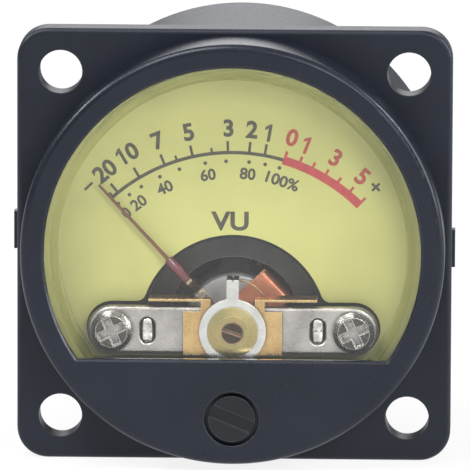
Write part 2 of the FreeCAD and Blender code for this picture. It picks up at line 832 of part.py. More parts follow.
def make_zero_regulator():
    body = add_body("zero_regulator")
    back = "regulator_back"
    front = "regulator_front"
    disc(body, back, front, "regulator_radius")
    arm = "regulator_arm_width / 2"
    leg_top = "(regulator_leg_rise + regulator_leg_thick)"
    root = "(regulator_radius - regulator_thick)"
    block(body, back, front, f"-{arm}", root, arm, leg_top)
    block(body, "spring_level - spring_wire", back, f"-{arm}", "regulator_leg_rise", arm, leg_top)
    tail = "tail_width / 2"
    block(body, back, front, f"-{tail}", "-(fork_top - fork_wall)", tail, f"-{root}")
    block(body, back, front, "-fork_half", "-fork_end", "fork_half", "-(fork_top - fork_wall)")
    bore(body, front, back, "shoulder_radius + slide_gap")
    slot = add_sketch(body, front)
    gap = "(pin_radius + fork_gap)"
    draw_rectangle(slot, f"-{gap}", "-(fork_end + fork_wall)", gap, "-fork_top")
    pocket(body, slot, "regulator_thick")
    notch = add_sketch(body, front)
    half = "notch_width / 2"
    corners = [(f"-{half}", f"{leg_top} + notch_depth"), ("0", f"{leg_top} - notch_depth / 2"), (half, f"{leg_top} + notch_depth")]
    draw_outline(notch, corners)
    pocket(body, notch, "regulator_front - (spring_level - spring_wire)")
    return on_pivot(body)


def make_spring_washer():
    rim = "washer_back"
    crown = "washer_back + washer_rise"
    inner = "bush_radius + slide_gap"
    profile = [
        (rim, "washer_radius"),
        (f"{rim} + washer_thick", "washer_radius"),
        (f"{crown} + washer_thick", inner),
        (crown, inner),
    ]
    return on_pivot(turned("spring_washer", profile))


def make_front_bush():
    back = "(jewel_back - slide_gap)"
    screw_hole = "jewel_screw_radius + thread_gap"
    profile = [
        (back, screw_hole),
        (back, "bush_radius"),
        ("stop_front", "bush_radius"),
        ("stop_front", "shoulder_radius"),
        ("regulator_front", "shoulder_radius"),
        ("regulator_front", "bush_radius"),
        ("lip_back", "bush_radius"),
        ("lip_back", "bush_radius + bush_lip"),
        ("lip_front", "bush_radius + bush_lip"),
        ("lip_front", screw_hole),
    ]
    return on_pivot(turned("front_bush", profile))


def make_jewel_screw(name, jewel_face, slot_face, inward):
    """A slotted screw with a pocket for the jewel. Inward is 1 where the jewel faces back, -1 where it faces forward."""
    floor = f"({jewel_face} + {inward} * jewel_depth)"
    profile = [
        (floor, "0"),
        (floor, "jewel_radius + thread_gap"),
        (jewel_face, "jewel_radius + thread_gap"),
        (jewel_face, "jewel_screw_radius"),
        (slot_face, "jewel_screw_radius"),
        (slot_face, "0"),
    ]
    body = turned(name, profile)
    top = slot_face if inward > 0 else f"({slot_face} + jewel_slot_depth)"
    slot = add_sketch(body, top)
    spin = FreeCAD.Rotation(FreeCAD.Vector(0, 0, 1), number("jewel_slot_turn"))
    slot.AttachmentOffset = FreeCAD.Placement(FreeCAD.Vector(0, 0, number(top)), spin)
    slot.setExpression("AttachmentOffset.Rotation.Angle", spelled("jewel_slot_turn"))
    reach = "(jewel_screw_radius + slide_gap)"
    draw_rectangle(slot, f"-{reach}", "-jewel_slot_width / 2", reach, "jewel_slot_width / 2")
    pocket(body, slot, "jewel_slot_depth")
    return on_pivot(body)


def make_jewel(name, face, inward):
    """A cup jewel, open towards the pivot."""
    profile = [
        (f"{face} + {inward} * jewel_depth", "0"),
        (f"{face} + {inward} * jewel_cup_radius", "0"),
        (face, "jewel_cup_radius"),
        (face, "jewel_radius"),
        (f"{face} + {inward} * jewel_depth", "jewel_radius"),
    ]
    return on_pivot(turned(name, profile))


def make_hex_nut(name, across, thick, hole, level):
    """A hexagonal nut from the given level back, about its own axis."""
    prism = doc.addObject("Part::Prism", name + "_hexagon")
    prism.Polygon = 6
    prism.setExpression("Circumradius", spelled(f"{across} / 2 / cos(30 deg)"))
    prism.setExpression("Height", spelled(thick))
    tool = doc.addObject("Part::Cylinder", name + "_hole")
    tool.setExpression("Radius", spelled(hole))
    tool.setExpression("Height", spelled(thick))
    for shape in (prism, tool):
        shape.Placement = FreeCAD.Placement(FreeCAD.Vector(0, 0, 0), FreeCAD.Rotation(FreeCAD.Vector(1, 0, 0), -90))
        shape.setExpression("Placement.Base.y", spelled(f"-({level})"))
    nut = doc.addObject("Part::Cut", name)
    nut.Label = name
    nut.Base = prism
    nut.Tool = tool
    doc.recompute()
    return nut


# Rear bearing

def make_rear_spring_tag():
    body = add_body("rear_spring_tag")
    back = "rear_bridge_front"
    front = "rear_bridge_front + tag_thick"
    disc(body, back, front, "washer_radius")
    arm = "tag_width / 2"
    top = "(tag_rise + tag_thick)"
    block(body, back, front, f"-{arm}", "bush_radius", arm, top)
    block(body, front, "rear_spring_level + spring_wire", f"-{arm}", "tag_rise", arm, top)
    bore(body, front, back, "jewel_screw_radius + slide_gap")
    return on_pivot(body)


# Moving coil, drawn with the pointer straight up and then leaned to rest

def draw_loop(sketch, half, front, back, grow):
    """A rectangle round the coil's axis, grown outward by a thickness."""
    draw_rectangle(sketch, f"-({half} + {grow})", f"-({front} + {grow})", f"{half} + {grow}", f"-({back} - {grow})")


def make_coil_former():
    body = add_body("coil_former")
    window = ("former_half", "former_front", "former_back")
    base = add_sketch(body, "-coil_width / 2", "XY_Plane")
    draw_loop(base, *window, "former_wall")
    draw_loop(base, *window, "0")
    pad(body, base, "coil_width")
    for start in ("-coil_width / 2", "coil_width / 2 - former_wall"):
        flange = add_sketch(body, start, "XY_Plane")
        draw_loop(flange, *window, "former_wall + winding_thick")
        draw_loop(flange, *window, "0")
        pad(body, flange, "former_wall")
    return on_pivot(body, "rest_angle")


def make_coil_winding():
    body = add_body("coil_winding")
    window = ("former_half", "former_front", "former_back")
    outside = add_sketch(body, "former_wall - coil_width / 2", "XY_Plane")
    draw_loop(outside, *window, "former_wall + winding_thick")
    pad(body, outside, "coil_width - 2 * former_wall")
    round_edges(body, "coil_round", runs_up)
    inside = add_sketch(body, "coil_width / 2 - former_wall", "XY_Plane")
    draw_loop(inside, *window, "former_wall")
    pocket(body, inside, "coil_width - 2 * former_wall")
    return on_pivot(body, "rest_angle")


def make_front_spindle():
    cup = "cup_bottom - pivot_play"
    profile = [
        ("coil_front", "0"),
        ("coil_front", "base_radius"),
        ("coil_front + base_thick", "base_radius"),
        ("coil_front + base_thick", "hub_shoulder"),
        ("cross_back", "hub_shoulder"),
        ("cross_back", "hub_radius"),
        ("cross_front", "hub_radius"),
        ("cross_front", "hub_shoulder"),
        ("arm_back", "hub_shoulder"),
        ("arm_back", "hub_radius"),
        ("collet_back", "hub_radius"),
        ("collet_back", "hub_shoulder"),
        ("collet_front", "hub_shoulder"),
        ("collet_front", "pivot_radius"),
        (f"{cup} - jewel_cup_radius", "pivot_radius"),
        (cup, "0"),
    ]
    return on_pivot(turned("front_spindle", profile), "rest_angle")


def make_rear_spindle():
    cup = "rear_cup_bottom + pivot_play"
    profile = [
        ("coil_back", "0"),
        ("coil_back", "base_radius"),
        ("coil_back - base_thick", "base_radius"),
        ("coil_back - base_thick", "hub_radius"),
        ("rear_collet_front", "hub_radius"),
        ("rear_collet_front", "hub_shoulder"),
        ("rear_collet_back", "hub_shoulder"),
        ("rear_collet_back", "pivot_radius"),
        (f"{cup} + jewel_cup_radius", "pivot_radius"),
        (cup, "0"),
    ]
    return on_pivot(turned("rear_spindle", profile), "rest_angle")


def make_pointer_arm():
    body = add_body("pointer_arm")
    disc(body, "arm_back", "arm_front", "arm_hub_radius")
    strip = add_sketch(body, "-arm_width / 2", "YZ_Plane")
    bend_end = "(arm_bend_start + arm_bend_run)"
    corners = [
        ("arm_back", "hub_radius"),
        ("arm_front", "hub_radius"),
        ("arm_front", "arm_bend_start"),
        ("arm_front + arm_step", bend_end),
        ("arm_front + arm_step", "arm_end"),
        ("arm_back + arm_step", "arm_end"),
        ("arm_back + arm_step", f"{bend_end} + arm_thick / 2"),
        ("arm_back", "arm_bend_start + arm_thick / 2"),
    ]
    draw_outline(strip, [(f"-({level})", rise) for level, rise in corners])
    pad(body, strip, "arm_width")
    bore(body, "arm_front", "arm_back", "hub_radius + thread_gap")
    return on_pivot(body, "rest_angle")


def make_pointer():
    body = add_body("pointer")
    middle = "(arm_back + arm_step + arm_thick / 2)"
    sketch = add_sketch(body, f"{middle} - pointer_thick / 2")
    root = "pointer_base_width / 2"
    tip = "pointer_tip_width / 2"
    corners = [(f"-{root}", "arm_end"), (root, "arm_end"), (tip, "pointer_length"), (f"-{tip}", "pointer_length")]
    draw_outline(sketch, corners)
    pad(body, sketch, "pointer_thick")
    return on_pivot(body, "rest_angle")


def make_tube(name, middle, spots, along_x=False):
    """A short tube along Z, or along X, round the level of its middle, from corners given as (place, radius)."""
    body = add_body(name)
    sketch = add_sketch(body, "0", "XY_Plane" if along_x else "YZ_Plane")
    if along_x:
        corners = [(place, f"-({middle}) + {radius}") for place, radius in spots]
    else:
        corners = [(f"-({middle}) + {radius}", place) for place, radius in spots]
    draw_outline(sketch, corners)
    line = sketch.addGeometry(Part.LineSegment(*tube_axis(middle, along_x)), True)
    kind = "Horizontal" if along_x else "Vertical"
    sketch.addConstraint(Sketcher.Constraint(kind, line))
    if along_x:
        bind_point(sketch, line, 1, "0", f"-({middle})")
        bind(sketch, "DistanceX", (-1, 1, line, 2), "1")
    else:
        bind_point(sketch, line, 1, f"-({middle})", "0")
        bind(sketch, "DistanceY", (-1, 1, line, 2), "1")
    feature = body.newObject("PartDesign::Revolution", name + "_turned")
    feature.Profile = sketch
    feature.ReferenceAxis = (sketch, ["Axis0"])
    feature.Angle = 360
    doc.recompute()
    return body


def tube_axis(middle, along_x):
    level = -number(middle)
    if along_x:
        return FreeCAD.Vector(0, level, 0), FreeCAD.Vector(1, level, 0)
    return FreeCAD.Vector(level, 0, 0), FreeCAD.Vector(level, 1, 0)


def make_pointer_sleeve():
    """A lacquered joint over the root of the pointer, thickest near its outer end."""
    middle = "arm_back + arm_step + arm_thick / 2"
    spots = [
        ("sleeve_start", "sleeve_bore"),
        ("sleeve_start", "sleeve_neck"),
        ("sleeve_end - 2 * sleeve_taper", "sleeve_radius"),
        ("sleeve_end - sleeve_taper", "sleeve_radius"),
        ("sleeve_end", "sleeve_neck"),
        ("sleeve_end", "sleeve_bore"),
    ]
    return on_pivot(make_tube("pointer_sleeve", middle, spots), "rest_angle")


def make_balance_cross():
    body = add_body("balance_cross")
    back = "cross_back"
    front = "cross_front"
    disc(body, back, front, "arm_hub_radius")
    half = "cross_arm_width / 2"
    block(body, back, front, "-cross_arm", f"-{half}", "cross_arm", half)
    block(body, back, front, f"-{half}", "-cross_tail", half, half)
    bore(body, front, back, "hub_radius + thread_gap")
    return on_pivot(body, "rest_angle")


def tube_spots(start, end, outer):
    return [(start, "weight_bore"), (start, outer), (end, outer), (end, "weight_bore")]


def make_balance_weights():
    """Three short tubes slid over the arms of the cross."""
    middle = "cross_back + arm_thick / 2"
    side_half = "side_weight_length / 2"
    tubes = []
    for side, word in ((-1, "left"), (1, "right")):
        start = f"{side} * side_weight_place - {side_half}"
        end = f"{side} * side_weight_place + {side_half}"
        spots = tube_spots(start, end, "weight_radius")
        tubes.append(make_tube("side_weight_" + word, middle, spots, along_x=True))
    low = "-(tail_weight_place + tail_weight_length / 2)"
    high = "-(tail_weight_place - tail_weight_length / 2)"
    tubes.append(make_tube("tail_weight", middle, tube_spots(low, high, "tail_weight_radius")))
    return on_pivot(grouped("balance_weights", tubes), "rest_angle")


# Hairsprings

def make_hairspring(name, level, anchor, turns_right):
    """A flat spiral of half-circles from the collet out to its anchor above the pivot, as one round wire."""
    wire_radius = number("spring_wire") / 2
    first = number("hub_shoulder + spring_collet_gap") + wire_radius
    last = number(anchor) - wire_radius
    step = number("spring_pitch") / 2
    stub = number("spring_wire")
    room = number("shoulder_radius + slide_gap") + number("arm_thick") * 3
    halves = 2 * int((room - first) / step / 2) + 1
    side = 1 if turns_right else -1
    reaches = [first + step * index for index in range(halves)] + [last]
    heights = [reach * (-1 if index % 2 == 0 else 1) for index, reach in enumerate(reaches)]
    y = -number(level)

    def spot(x, z):
        return FreeCAD.Vector(x, y, z)

    edges = [Part.LineSegment(spot(-side * stub, heights[0]), spot(0, heights[0])).toShape()]
    for index, (low, high) in enumerate(zip(heights, heights[1:])):
        radius = abs(high - low) / 2
        bulge = side * radius * (1 if index % 2 == 0 else -1)
        edges.append(Part.Arc(spot(0, low), spot(bulge, (low + high) / 2), spot(0, high)).toShape())
    edges.append(Part.LineSegment(spot(0, heights[-1]), spot(-side * stub, heights[-1])).toShape())
    path = Part.Wire(edges)
    circle = Part.Circle(edges[0].Vertexes[0].Point, FreeCAD.Vector(1, 0, 0), wire_radius)
    tube = path.makePipeShell([Part.Wire([circle.toShape()])], True, False)
    print(name, "least gap to itself", round(least_gap(path, 2 * wire_radius), 3), "mm")
    spring = doc.addObject("Part::Feature", name)
    spring.Label = name
    spring.Shape = tube
    return on_pivot(spring)


def least_gap(path, thick):
    """The least clear distance between stretches of a wire that are over two of its widths apart along it."""
    step = thick / 2
    points = path.discretize(Distance=step)
    apart = int(4 * thick / step)
    least = path.Length
    for index, point in enumerate(points):
        for other in points[index + apart:]:
            least = min(least, point.distanceToPoint(other))
    return least - thick


# Zero screw

def make_zero_screw():
    profile = [
        ("shank_back", "0"),
        ("shank_back", "zero_shank_radius"),
        ("zero_head_back", "zero_shank_radius"),
        ("zero_head_back", "zero_head_radius"),
        ("zero_head_front", "zero_head_radius"),
        ("zero_head_front", "0"),
    ]
    body = turned("zero_screw", profile)
    slot = add_sketch(body, "zero_head_front")
    spin = FreeCAD.Rotation(FreeCAD.Vector(0, 0, 1), number("zero_slot_turn"))
    slot.AttachmentOffset = FreeCAD.Placement(FreeCAD.Vector(0, 0, number("zero_head_front")), spin)
    slot.setExpression("AttachmentOffset.Rotation.Angle", spelled("zero_slot_turn"))
    reach = "(zero_head_radius + slide_gap)"
    draw_rectangle(slot, f"-{reach}", "-zero_slot_width / 2", reach, "zero_slot_width / 2")
    pocket(body, slot, "zero_slot_depth")
    disc(body, "pin_back", "shank_back", "pin_radius", z="pin_offset")
    body.setExpression("Placement.Base.z", spelled("-zero_drop"))
    return body


def make_zero_screw_clip():
    inner = "zero_shank_radius"
    profile = [
        ("clip_back", inner),
        ("clip_back", "zero_clip_radius"),
        ("clip_front", "zero_clip_radius"),
        ("clip_front", inner),
    ]
    body = turned("zero_screw_clip", profile)
    body.setExpression("Placement.Base.z", spelled("-zero_drop"))
    return body


# Terminals and lamp

def at_stud(piece, side):
    piece.setExpression("Placement.Base.x", spelled(f"{side} * stud_spread"))
    piece.setExpression("Placement.Base.z", spelled("-stud_drop"))
    return piece


def make_stud(name):
    back = "-(barrel_depth + stud_reach)"
    front = "cavity_back + stud_hold"
    tip = "-(barrel_depth + tag_front + flat_washer_thick + nut_thick)"
    profile = [
        (back, "0"),
        (back, "stud_tip_radius - flat_washer_thick"),
        (f"{back} + flat_washer_thick", "stud_tip_radius"),
        (tip, "stud_tip_radius"),
        (tip, "stud_radius"),
        (front, "stud_radius"),
        (front, "0"),
    ]
    return turned(name, profile)


def make_flat_washer(name):
    inner = "stud_radius + stud_gap"
    back = "-(barrel_depth + flat_washer_thick)"
    return turned(name, [(back, inner), (back, "flat_washer_radius"), ("-barrel_depth", "flat_washer_radius"), ("-barrel_depth", inner)])


def make_solder_tag(name):
    body = add_body(name)
    back = "-(barrel_depth + tag_front + flat_washer_thick)"
    front = "-(barrel_depth + tag_front)"
    disc(body, back, front, "tag_ring_radius")
    tail = add_sketch(body, back)
    draw_stadium(tail, "0", "tag_length / 2", "(tag_length / 2 + tag_ring_radius / 2)", "(tag_ring_radius / 2)", upright=True)
    pad(body, tail, "flat_washer_thick")
    bore(body, front, back, "stud_radius + stud_gap")
    bore(body, front, back, "tag_eye_radius", (("0", "tag_length"),))
    return body


def make_terminals():
    sides = ((-1, "left"), (1, "right"))
    studs = [at_stud(make_stud("stud_" + word), side) for side, word in sides]
    washers = [at_stud(make_flat_washer("washer_" + word), side) for side, word in sides]
    tags = [at_stud(make_solder_tag("tag_" + word), side) for side, word in sides]
    nuts = []
    inner_level = "-(barrel_depth + flat_washer_thick)"
    outer_level = "-(barrel_depth + tag_front + flat_washer_thick)"
    for side, word in sides:
        for place, level in (("inner", inner_level), ("outer", outer_level)):
            name = f"nut_{place}_{word}"
            nut = make_hex_nut(name, "nut_across", "nut_thick", "stud_radius + thread_gap", level)
            nuts.append(at_stud(nut, side))
    return [
        grouped("meter_terminals", studs),
        grouped("terminal_washers", washers),
        grouped("solder_tags", tags),
        grouped("terminal_nuts", nuts),
    ]


def make_lamp_pin(name):
    back = "-(barrel_depth + lamp_pin_reach)"
    collar = "-(barrel_depth + lamp_collar_thick)"
    profile = [
        (back, "0"),
        (back, "lamp_pin_radius"),
        (collar, "lamp_pin_radius"),
        (collar, "lamp_collar_radius"),
        ("-barrel_depth", "lamp_collar_radius"),
        ("-barrel_depth", "lamp_pin_radius"),
        ("-lamp_sink + lamp_pin_radius", "lamp_pin_radius"),
        ("-lamp_sink + lamp_pin_radius", "0"),
    ]
    return turned(name, profile)


def make_lamp():
    """A small glass lamp soldered between its two pins behind the dial."""
    pins = []
    leads = []
    for side, word in ((-1, "left"), (1, "right")):
        pin = make_lamp_pin("lamp_pin_" + word)
        pin.setExpression("Placement.Base.x", spelled(f"{side} * lamp_spread"))
        pin.setExpression("Placement.Base.z", spelled("lamp_rise"))
        pins.append(pin)
        lead = doc.addObject("Part::Cylinder", "lead_" + word)
        turn = FreeCAD.Rotation(FreeCAD.Vector(0, 1, 0), 90 * side)
        lead.Placement = FreeCAD.Placement(FreeCAD.Vector(0, 0, 0), turn)
        lead.setExpression("Radius", spelled("lead_radius"))
        lead.setExpression("Height", spelled("lamp_spread - lamp_pin_radius - lamp_half_length"))
        lead.setExpression("Placement.Base.x", spelled(f"{side} * lamp_half_length"))
        lead.setExpression("Placement.Base.y", spelled("lamp_sink"))
        lead.setExpression("Placement.Base.z", spelled("lamp_rise"))
        leads.append(lead)
    glass = add_body("backlight_lamp")
    profile = add_sketch(glass, "0", "XY_Plane")
    shoulder = "(lamp_half_length - lamp_radius / 2)"
    corners = [
        ("-lamp_half_length", "0"),
        ("lamp_half_length", "0"),
        ("lamp_half_length", "lamp_radius / 2"),
        (shoulder, "lamp_radius"),
        (f"-{shoulder}", "lamp_radius"),
        ("-lamp_half_length", "lamp_radius / 2"),
    ]
    draw_outline(profile, corners)
    feature = glass.newObject("PartDesign::Revolution", "backlight_lamp_turned")
    feature.Profile = profile
    feature.ReferenceAxis = (profile, ["H_Axis"])
    feature.Angle = 360
    glass.setExpression("Placement.Base.y", spelled("lamp_sink"))
    glass.setExpression("Placement.Base.z", spelled("lamp_rise"))
    doc.recompute()
    return [glass, grouped("lamp_leads", leads), grouped("lamp_terminals", pins)]


def make_rear_lock_nut():
    hole = "jewel_screw_radius + thread_gap"
    nut = make_hex_nut("rear_lock_nut", "lock_nut_across", "lock_nut_thick", hole, "rear_bridge_back")
    return on_pivot(nut)


def make_all():
    nodes = [
        make_case_body(),
        make_front_cover(),
        make_crystal(),
        make_dial_sheet("dial_plate", "dial_back", "dial_front", "0"),
        make_dial_sheet("dial_diffuser", "plate_front", "dial_back", "glue_gap"),
        make_movement_frame(),
        make_yoke_ring(),
        make_magnet_core(),
        make_core_spacers(),
        make_front_bridge(),
        make_bridge_screws("bridge_screws", "bridge_front", False),
        make_stop_plate(),
        make_zero_regulator(),
        make_spring_washer(),
        make_front_bush(),
        make_jewel_screw("front_jewel_screw", "jewel_back", "jewel_screw_front", 1),
        make_jewel("front_jewel", "jewel_back", 1),
        make_rear_bridge(),
        make_bridge_screws("rear_bridge_screws", "rear_bridge_back", True),
        make_rear_spring_tag(),
        make_jewel_screw("rear_jewel_screw", "rear_jewel_front", "rear_jewel_front - rear_screw_length", -1),
        make_jewel("rear_jewel", "rear_jewel_front", -1),
        make_rear_lock_nut(),
        make_coil_former(),
        make_coil_winding(),
        make_front_spindle(),
        make_rear_spindle(),
        make_pointer_arm(),
        make_pointer(),
        make_pointer_sleeve(),
        make_balance_cross(),
        make_balance_weights(),
        make_hairspring("front_hairspring", "spring_level", "regulator_leg_rise", True),
        make_hairspring("rear_hairspring", "rear_spring_level", "tag_rise", False),
        make_zero_screw(),
        make_zero_screw_clip(),
    ]
    return nodes + make_terminals() + make_lamp()


def check_all(nodes):
    for item in doc.Objects:
        if "Invalid" in item.State or "Error" in item.State:
            raise RuntimeError(f"{item.Name} failed: {item.State}")
    for node in nodes:
        if node.Shape.isNull() or not node.Shape.isValid() or not node.Shape.Solids:
            raise RuntimeError(node.Label + " has no valid solid")


def write_all(nodes):
    os.makedirs("parts", exist_ok=True)
    for node in nodes:
        node.Shape.exportStep(f"parts/{node.Label}.step")


doc = FreeCAD.newDocument("level_meter")
sheet = doc.addObject("Spreadsheet::Sheet", "Sizes")
fill_sheet()
all_nodes = make_all()
doc.recompute()
check_all(all_nodes)
write_all(all_nodes)
print(len(all_nodes), "pieces written")
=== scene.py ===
import bpy
import bmesh
from math import radians, sin, cos, pi
from mathutils import Matrix, Vector, noise


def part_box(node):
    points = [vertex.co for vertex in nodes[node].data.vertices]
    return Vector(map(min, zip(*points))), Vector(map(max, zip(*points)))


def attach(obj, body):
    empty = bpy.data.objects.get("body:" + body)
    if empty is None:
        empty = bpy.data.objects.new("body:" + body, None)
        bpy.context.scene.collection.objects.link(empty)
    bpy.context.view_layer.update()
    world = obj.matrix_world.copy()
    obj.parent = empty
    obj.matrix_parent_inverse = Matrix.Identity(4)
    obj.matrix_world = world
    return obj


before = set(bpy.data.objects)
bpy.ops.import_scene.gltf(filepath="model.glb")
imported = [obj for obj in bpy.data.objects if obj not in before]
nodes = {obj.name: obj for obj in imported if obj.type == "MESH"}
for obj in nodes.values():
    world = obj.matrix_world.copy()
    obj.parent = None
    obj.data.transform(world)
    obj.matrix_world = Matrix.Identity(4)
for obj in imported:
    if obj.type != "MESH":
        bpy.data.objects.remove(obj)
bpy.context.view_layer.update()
mm = 0.001
print("frame loaded:", len(nodes), "nodes")


# finishes: one dictionary per surface, one function that builds it
def addNode(mat, kind, **settings):
    node = mat.node_tree.nodes.new(kind)
    for key, value in settings.items():
        setattr(node, key, value)
    return node


def wire(mat, start, end):
    mat.node_tree.links.new(start, end)


def coordinates(mat, stretch=(1, 1, 1), tilt=0.0):
    place = addNode(mat, "ShaderNodeTexCoord")
    mapping = addNode(mat, "ShaderNodeMapping")
    mapping.inputs["Rotation"].default_value = (0, radians(tilt), 0)
    mapping.inputs["Scale"].default_value = stretch
    wire(mat, place.outputs["Object"], mapping.inputs["Vector"])
    return mapping.outputs["Vector"]


def noiseOf(mat, vector, size, detail=3.0):
    node = addNode(mat, "ShaderNodeTexNoise")
    node.inputs["Scale"].default_value = 1 / size
    node.inputs["Detail"].default_value = detail
    wire(mat, vector, node.inputs["Vector"])
    return node.outputs["Fac"]


def rangeOf(mat, value, fromLow, fromHigh, low, high):
    node = addNode(mat, "ShaderNodeMapRange")
    node.inputs["From Min"].default_value = fromLow
    node.inputs["From Max"].default_value = fromHigh
    node.inputs["To Min"].default_value = low
    node.inputs["To Max"].default_value = high
    wire(mat, value, node.inputs["Value"])
    return node.outputs["Result"]


def colourMix(mat, share, first, second):
    node = addNode(mat, "ShaderNodeMixRGB")
    wire(mat, share, node.inputs["Fac"])
    for socket, colour in ((node.inputs["Color1"], first), (node.inputs["Color2"], second)):
        if isinstance(colour, tuple):
            socket.default_value = (*colour, 1)
        else:
            wire(mat, colour, socket)
    return node.outputs["Color"]


def edgeShare(mat, width):
    bevel = addNode(mat, "ShaderNodeBevel", samples=6)
    bevel.inputs["Radius"].default_value = width
    here = addNode(mat, "ShaderNodeNewGeometry")
    dot = addNode(mat, "ShaderNodeVectorMath", operation="DOT_PRODUCT")
    wire(mat, bevel.outputs["Normal"], dot.inputs[0])
    wire(mat, here.outputs["Normal"], dot.inputs[1])
    return rangeOf(mat, dot.outputs["Value"], 0.985, 0.86, 0.0, 1.0)


def makeFinish(name, look):
    mat = bpy.data.materials.new(name)
    mat.use_nodes = True
    skin = mat.node_tree.nodes["Principled BSDF"]
    vector = coordinates(mat, look.get("stretch", (1, 1, 1)), look.get("tilt", 0.0))
    plain = coordinates(mat)
    patches = rangeOf(mat, noiseOf(mat, plain, look["patch"]), 0.35, 0.65, 0, 1)
    colour = colourMix(mat, patches, look["colour"], look["colourToo"])
    # painted shade: the colour falls to an eighth of itself in recesses, corners and gaps between parts,
    # where shade gathers
    if "shadeReach" in look:
        shade = addNode(mat, "ShaderNodeAmbientOcclusion", samples=8)
        shade.inputs["Distance"].default_value = look["shadeReach"]
        deep = rangeOf(mat, shade.outputs["AO"], 0.25, 0.85, 0.0, 1.0)
        colour = colourMix(mat, deep, tuple(c * 0.12 for c in look["colour"]), colour)
    # paler edges: partly wear, partly a painted highlight along every edge
    if "edge" in look:
        wearAndGlint = edgeShare(mat, look["edgeWidth"])
        colour = colourMix(mat, wearAndGlint, colour, look["edge"])
    wire(mat, colour, skin.inputs["Base Color"])
    grain = noiseOf(mat, vector, look["grain"], 5.0)
    low, high = look["rough"]
    wire(mat, rangeOf(mat, grain, 0.3, 0.7, low, high), skin.inputs["Roughness"])
    skin.inputs["Metallic"].default_value = look.get("metal", 0.0)
    skin.inputs["Coat Weight"].default_value = look.get("coat", 0.0)
    skin.inputs["Specular IOR Level"].default_value = look.get("shine", 0.5)
    skin.inputs["Specular Tint"].default_value = (*look.get("shineTint", (1, 1, 1)), 1)
    bump = addNode(mat, "ShaderNodeBump")
    bump.inputs["Strength"].default_value = look.get("bump", 0.3)
    bump.inputs["Distance"].default_value = look.get("height", 0.00002)
    wire(mat, grain, bump.inputs["Height"])
    if "round" in look:
        soft = addNode(mat, "ShaderNodeBevel", samples=4)
        soft.inputs["Radius"].default_value = look["round"]
        wire(mat, soft.outputs["Normal"], bump.inputs["Normal"])
    wire(mat, bump.outputs["Normal"], skin.inputs["Normal"])
    return mat


def dress(mat, *names):
    for name in names:
        slots = nodes[name].data.materials
        slots.clear()
        slots.append(mat)


# black moulded case and cover: fine mould grain, edges a little paler, partly where handled and partly as a
# painted highlight
casePlastic = {
    "colour": (0.0060, 0.0080, 0.0150), "colourToo": (0.0085, 0.0110, 0.0200), "patch": 0.006,
    "grain": 0.00022, "rough": (0.36, 0.48), "bump": 0.20, "height": 0.00002,
    "edge": (0.045, 0.047, 0.056), "edgeWidth": 0.00020, "round": 0.00018, "shine": 0.42,
    "shineTint": (0.88, 0.93, 1.0),
}
coverPlastic = dict(casePlastic, rough=(0.26, 0.36), grain=0.00030, bump=0.12)
screwPlastic = dict(casePlastic, colour=(0.006, 0.006, 0.008), colourToo=(0.010, 0.010, 0.013),
                    rough=(0.16, 0.26), bump=0.12, edge=(0.10, 0.10, 0.11), edgeWidth=0.00012, round=0.00015)
innerPlastic = dict(casePlastic, colour=(0.0075, 0.0075, 0.010), colourToo=(0.011, 0.011, 0.014),
                    rough=(0.50, 0.6), bump=0.02, shine=0.25)

# plated, brass and steel pieces of the movement, with painted shade in their recesses and edges that are
# paler, partly worn and partly painted highlight
nickel = {
    "colour": (0.49, 0.46, 0.44), "colourToo": (0.33, 0.31, 0.30), "patch": 0.0026, "metal": 1.0,
    "grain": 0.00012, "stretch": (0.25, 1, 1), "rough": (0.24, 0.42), "bump": 0.35, "height": 0.00001,
    "edge": (0.86, 0.83, 0.78), "edgeWidth": 0.00013, "round": 0.00010, "shadeReach": 0.0006,
}
# painted shade fills the cross recess; the head's rim is paler, partly worn and partly a painted highlight
nickelScrew = dict(nickel, colour=(0.44, 0.42, 0.40), colourToo=(0.26, 0.25, 0.24), patch=0.0009,
                   stretch=(1, 1, 1), edge=(1.0, 0.97, 0.92), edgeWidth=0.00018,
                   rough=(0.18, 0.34), shadeReach=0.0006)
brightPlate = dict(nickel, colour=(0.72, 0.72, 0.70), colourToo=(0.60, 0.60, 0.58), patch=0.0014,
                   stretch=(1, 1, 1), edge=(0.92, 0.92, 0.90), rough=(0.16, 0.30))
brass = dict(nickel, colour=(0.66, 0.45, 0.20), colourToo=(0.52, 0.33, 0.14), patch=0.0018,
             stretch=(1, 1, 0.3), edge=(0.90, 0.70, 0.38), rough=(0.22, 0.38))
washerBrass = dict(brass, colour=(0.44, 0.34, 0.15), colourToo=(0.34, 0.30, 0.14), patch=0.0012,
                   edge=(0.62, 0.50, 0.24), rough=(0.26, 0.38), shadeReach=0.00012)
bronze = dict(brass, colour=(0.42, 0.27, 0.19), colourToo=(0.32, 0.20, 0.14), patch=0.0008, stretch=(1, 1, 1),
              edge=(0.62, 0.42, 0.28), rough=(0.26, 0.42), shadeReach=0.0004)
blackIron = dict(nickel, colour=(0.060, 0.058, 0.060), colourToo=(0.040, 0.040, 0.042), metal=0.6,
                 stretch=(1, 1, 1), edge=(0.40, 0.38, 0.36), rough=(0.30, 0.45))
magnetAlloy = dict(nickel, colour=(0.66, 0.66, 0.67), colourToo=(0.50, 0.50, 0.51), metal=0.7,
                   stretch=(1, 1, 0.2), shadeReach=0.0002, edge=(0.62, 0.61, 0.60), edgeWidth=0.00016,
                   rough=(0.34, 0.50))
steel = dict(nickel, colour=(0.56, 0.56, 0.56), colourToo=(0.44, 0.44, 0.45), stretch=(1, 1, 1))
tin = dict(nickel, colour=(0.62, 0.62, 0.60), colourToo=(0.48, 0.48, 0.47), stretch=(1, 1, 1),
           rough=(0.30, 0.48))
armMetal = dict(nickel, colour=(0.62, 0.55, 0.44), colourToo=(0.50, 0.43, 0.34), patch=0.0012,
                stretch=(1, 1, 1), edge=(0.90, 0.86, 0.78), edgeWidth=0.00008, rough=(0.22, 0.36), tilt=43.0)
